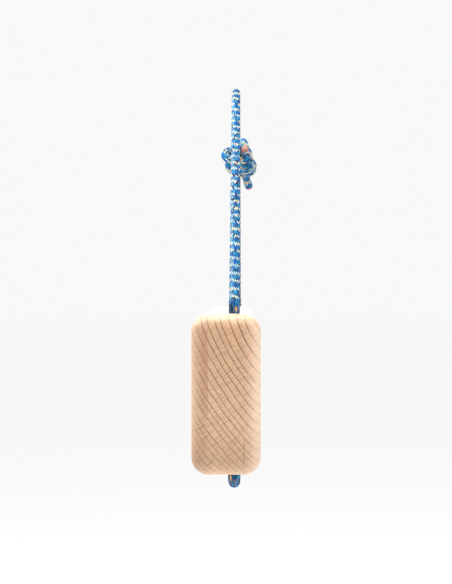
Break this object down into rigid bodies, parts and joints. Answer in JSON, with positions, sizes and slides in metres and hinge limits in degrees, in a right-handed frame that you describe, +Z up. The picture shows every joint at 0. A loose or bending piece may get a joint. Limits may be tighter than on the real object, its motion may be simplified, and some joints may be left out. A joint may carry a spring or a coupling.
{
  "type": "portable wooden hangboard on a cord loop",
  "caption": "Rounded beech training bar with milled finger edges, hung by its ends from one point on a knotted cord loop, so it rocks freely below the cord.",
  "frame": {"origin": "inside of the cord's bight, at the point that rests on the hook", "axes": "+Y along the bar, away from the end that is seen; +X out of the bar's plain long face; +Z up"},
  "size_m": [0.0384, 0.472, 0.2503],
  "materials": {
    "beech": "oiled, fine sanded",
    "cord_sheath": "braided polyamide sheath",
    "sealed_end": "melted cord end"
  },
  "bodies": {
    "cord_loop": {"cord_near_leg": "cord_sheath", "cord_bight": "cord_sheath", "cord_far_leg_upper": "cord_sheath", "cord_far_leg_lower": "cord_sheath", "knot_upper_wraps": "cord_sheath", "knot_lower_wraps": "cord_sheath", "tail_upper": "cord_sheath", "tail_lower": "cord_sheath", "sealed_end_upper": "sealed_end", "sealed_end_lower": "sealed_end"},
    "board": {"board": "beech", "cord_in_near_bore": "cord_sheath", "cord_in_far_bore": "cord_sheath", "cord_under_run": "cord_sheath"}
  },
  "joints": [
    {"name": "board_rock", "type": "hinge", "parent": "cord_loop", "child": "board", "pos_m": [0, 0, -0.14276], "axis": [0, 1, 0], "range_deg": [-90, 90]}
  ]
}
